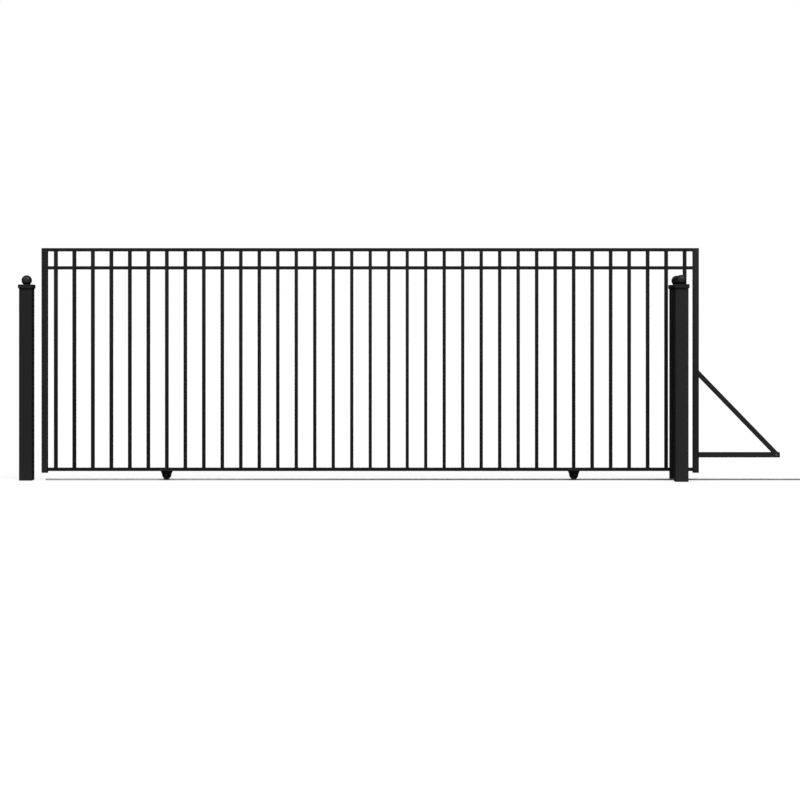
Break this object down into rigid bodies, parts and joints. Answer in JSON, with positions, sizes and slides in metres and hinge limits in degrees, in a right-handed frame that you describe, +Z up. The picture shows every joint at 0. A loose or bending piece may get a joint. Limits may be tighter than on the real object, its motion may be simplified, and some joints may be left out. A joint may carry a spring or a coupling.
{
  "type": "sliding driveway gate",
  "caption": "Black steel picket gate leaf on grooved wheels, sliding along a ground track between ball-capped guide posts to a catch post, with a braced tail frame.",
  "frame": {"origin": "middle of the catch post's foot, at ground level, in line with the leaf", "axes": "+X along the track, the way the leaf opens; +Y from the front to the back; +Z up"},
  "size_m": [9.3563, 0.332, 1.7984],
  "materials": {
    "post_paint": "satin black powder coat",
    "cap_paint": "satin black paint",
    "leaf_paint": "satin black powder coat",
    "track_zinc": "dull galvanised",
    "wheel_steel": "black oxide with a worn groove",
    "axle_steel": "dark zinc"
  },
  "bodies": {
    "posts_and_track": {"catch_post": "post_paint", "catch_post_cap": "cap_paint", "catch_post_ball": "cap_paint", "front_guide_post": "post_paint", "front_guide_post_cap": "cap_paint", "front_guide_post_ball": "cap_paint", "back_guide_post": "post_paint", "back_guide_post_cap": "cap_paint", "back_guide_post_ball": "cap_paint", "ground_track": "track_zinc"},
    "gate_leaf": {"leading_stile": "leaf_paint", "trailing_stile": "leaf_paint", "top_rail": "leaf_paint", "middle_rail": "leaf_paint", "bottom_rail": "leaf_paint", "pickets": "leaf_paint", "tail_bar": "leaf_paint", "tail_brace": "leaf_paint", "leading_wheel_front_cheek": "leaf_paint", "leading_wheel_back_cheek": "leaf_paint", "trailing_wheel_front_cheek": "leaf_paint", "trailing_wheel_back_cheek": "leaf_paint", "leading_axle": "axle_steel", "trailing_axle": "axle_steel"},
    "leading_wheel": {"leading_wheel": "wheel_steel"},
    "trailing_wheel": {"trailing_wheel": "wheel_steel"}
  },
  "joints": [
    {"name": "gate_slide", "type": "slide", "parent": "posts_and_track", "child": "gate_leaf", "axis": [1, 0, 0], "range_m": [0, 4.89]},
    {"name": "leading_wheel_roll", "type": "hinge", "parent": "gate_leaf", "child": "leading_wheel", "pos_m": [1.08636, 0, 0.04244], "axis": [0, 1, 0], "continuous": true},
    {"name": "trailing_wheel_roll", "type": "hinge", "parent": "gate_leaf", "child": "trailing_wheel", "pos_m": [4.24028, 0, 0.04244], "axis": [0, 1, 0], "continuous": true}
  ],
  "couplings": [
    {"joint": "leading_wheel_roll", "follows": "gate_slide", "rad_per_m": 30.769},
    {"joint": "trailing_wheel_roll", "follows": "gate_slide", "rad_per_m": 30.769}
  ]
}
